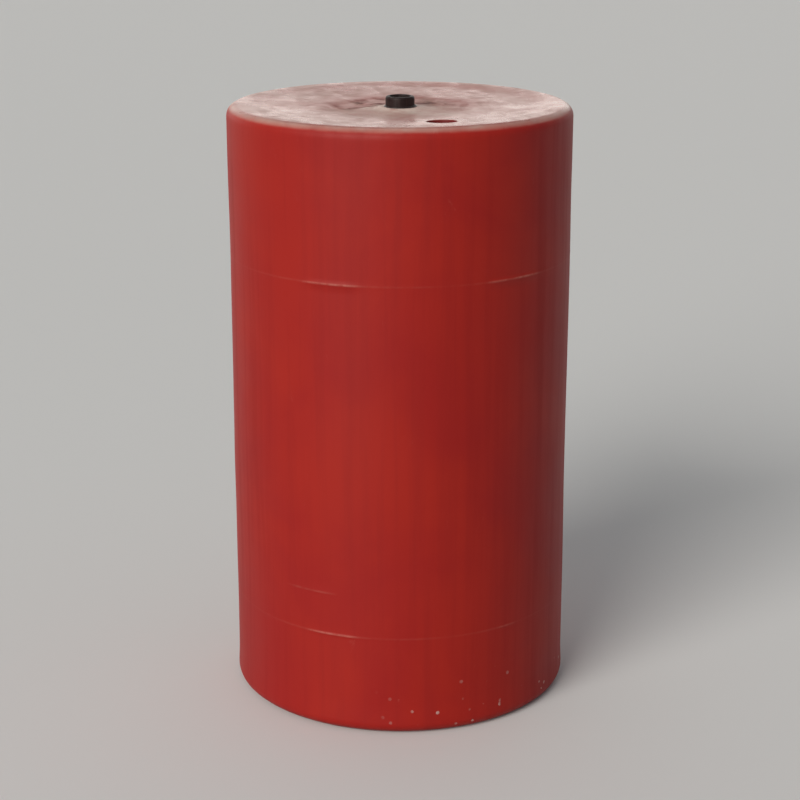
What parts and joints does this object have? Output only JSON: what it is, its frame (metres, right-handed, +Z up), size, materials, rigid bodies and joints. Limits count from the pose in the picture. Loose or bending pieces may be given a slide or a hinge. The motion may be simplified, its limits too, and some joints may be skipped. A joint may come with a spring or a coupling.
{
  "type": "floating barrier buoy",
  "caption": "Upright cylindrical red moulded float with shallow dished ends, thin parting ridges, an open black pipe along its axis and a sunk red filling plug.",
  "frame": {"origin": "centre of the foot, on the surface that the float stands on, on the axis of the through pipe", "axes": "+Z up along the axis of the through pipe, out of the end with the filling plug; -Y faces the viewer, and the plug lies towards it"},
  "size_m": [0.6017, 0.6018, 1.061],
  "materials": {
    "shell_red": "moulded polyethylene with a dull sheen, lightly scuffed",
    "pipe_black": "extruded black polyethylene",
    "bead_black": "hand-run weld bead",
    "plug_red": "dark red moulded plastic"
  },
  "bodies": {
    "root": {"float_shell": "shell_red", "through_pipe": "pipe_black", "pipe_weld_top": "bead_black", "pipe_weld_bottom": "bead_black", "fill_plug": "plug_red"}
  },
  "joints": []
}
